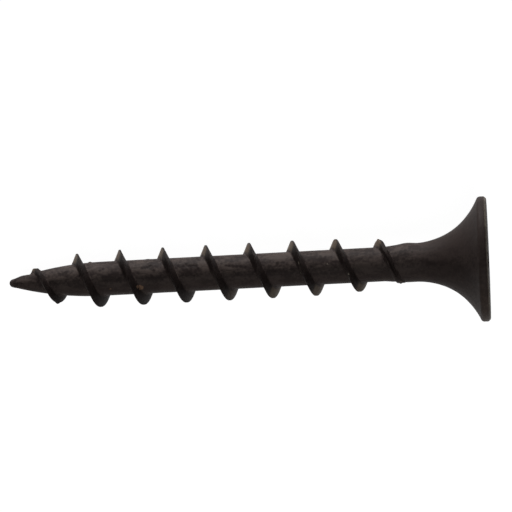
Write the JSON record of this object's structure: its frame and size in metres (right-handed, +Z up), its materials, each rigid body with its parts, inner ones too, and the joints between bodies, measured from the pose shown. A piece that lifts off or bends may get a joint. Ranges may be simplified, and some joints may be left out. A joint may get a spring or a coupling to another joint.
{
  "type": "drywall screw",
  "caption": "Countersunk bugle-head screw with a cross recess, sharp point and coarse right-hand thread, black phosphated.",
  "frame": {"origin": "middle of the underside of the screw as it lies at rest, on the floor", "axes": "+X along the screw from its point to its head, which the rest slope of 5.2 degrees tips up a little; +Z up"},
  "size_m": [0.032, 0.0082, 0.0082],
  "materials": {
    "black_phosphate": "matt black phosphate coat on hardened steel, slightly brown where it is thin and worn"
  },
  "bodies": {
    "root": {"drywall_screw": "black_phosphate"}
  },
  "joints": []
}
